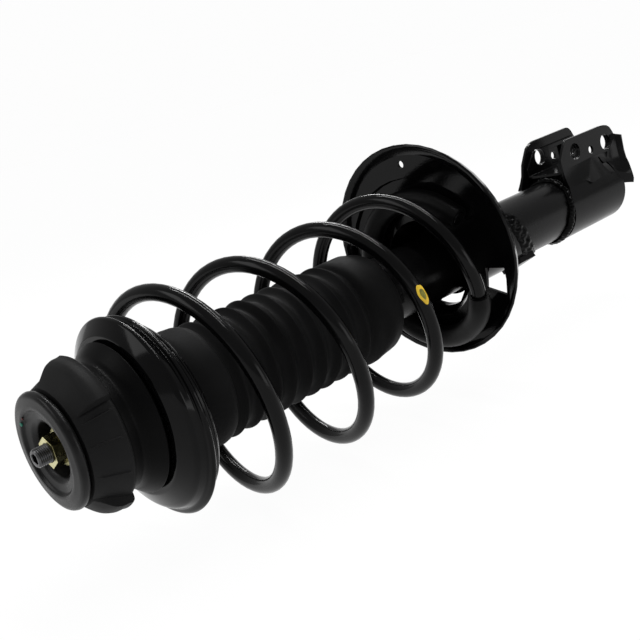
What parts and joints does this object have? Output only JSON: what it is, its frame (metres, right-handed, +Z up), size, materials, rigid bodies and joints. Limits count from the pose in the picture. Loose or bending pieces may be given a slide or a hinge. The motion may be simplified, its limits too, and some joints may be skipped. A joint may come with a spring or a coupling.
{
  "type": "suspension_strut_assembly",
  "caption": "Front suspension strut: black coil spring, ribbed dust boot, rubber top mount with bearing, lower spring pan and two-eared knuckle bracket.",
  "frame": {"origin": "On the damper axis, level with the middle of the two knuckle bolts.", "axes": "+Z up along the damper axis to the top mount, +Y from the axis to the bracket's ears, +X along the knuckle bolts."},
  "size_m": [0.1699, 0.1877, 0.597],
  "materials": {
    "gloss_black_paint": "gloss black enamel",
    "black_paint": "satin black enamel",
    "rubber": "matt black rubber",
    "foam_rubber": "tan cellular foam",
    "nylon": "black moulded nylon",
    "bare_steel": "oiled bare steel",
    "chromed_steel": "hard chrome",
    "sintered_iron": "grey sintered iron",
    "bronze": "bronze lined",
    "zinc_plate": "yellow zinc plate"
  },
  "bodies": {
    "strut_body": {"strut_tube": "black_paint", "tube_bottom_cap": "black_paint", "pressure_tube": "bare_steel", "base_valve_body": "sintered_iron", "base_valve_disc": "bare_steel", "rod_guide": "sintered_iron", "guide_bush": "bronze", "rod_seal": "rubber", "tube_closure": "black_paint", "bump_cap": "black_paint", "lower_spring_seat": "gloss_black_paint", "seat_saddle": "black_paint", "hose_tab": "black_paint", "knuckle_bracket": "gloss_black_paint", "bracket_insert": "black_paint", "lower_insulator": "rubber", "coil_spring": "black_paint", "dust_boot": "rubber"},
    "upper_seat": {"upper_spring_seat": "gloss_black_paint", "upper_insulator": "rubber", "bearing_lower_race": "bare_steel"},
    "top_mount": {"bearing_cover": "nylon", "bearing_upper_race": "bare_steel", "mount_rubber": "rubber", "mount_core": "bare_steel", "mount_top_disc": "black_paint", "nut_washer": "zinc_plate", "rod_nut": "zinc_plate", "piston_rod": "chromed_steel", "piston": "sintered_iron", "piston_band": "nylon", "compression_shims": "bare_steel", "rebound_shims": "bare_steel", "piston_nut": "bare_steel", "rebound_stop": "nylon", "bump_stop": "foam_rubber"},
    "ball_ring": {"ball_cage": "nylon", "bearing_ball_01": "chromed_steel", "bearing_ball_02": "chromed_steel", "bearing_ball_03": "chromed_steel", "bearing_ball_04": "chromed_steel", "bearing_ball_05": "chromed_steel", "bearing_ball_06": "chromed_steel", "bearing_ball_07": "chromed_steel", "bearing_ball_08": "chromed_steel", "bearing_ball_09": "chromed_steel", "bearing_ball_10": "chromed_steel"}
  },
  "joints": [
    {"name": "stroke", "type": "slide", "parent": "strut_body", "child": "upper_seat", "axis": [0, 0, 1], "range_m": [-0.12, 0], "stiffness_N_per_m": 22000, "springref_m": 0.06, "deforming": ["coil_spring", "dust_boot"]},
    {"name": "steer", "type": "hinge", "parent": "upper_seat", "child": "top_mount", "pos_m": [0, 0, 0.501], "axis": [0, 0, 1], "range_deg": [-40, 40]},
    {"name": "ball_roll", "type": "hinge", "parent": "upper_seat", "child": "ball_ring", "pos_m": [0, 0, 0.501], "axis": [0, 0, 1], "range_deg": [-20, 20]}
  ],
  "couplings": [
    {"joint": "ball_roll", "follows": "steer", "ratio": 0.5}
  ]
}
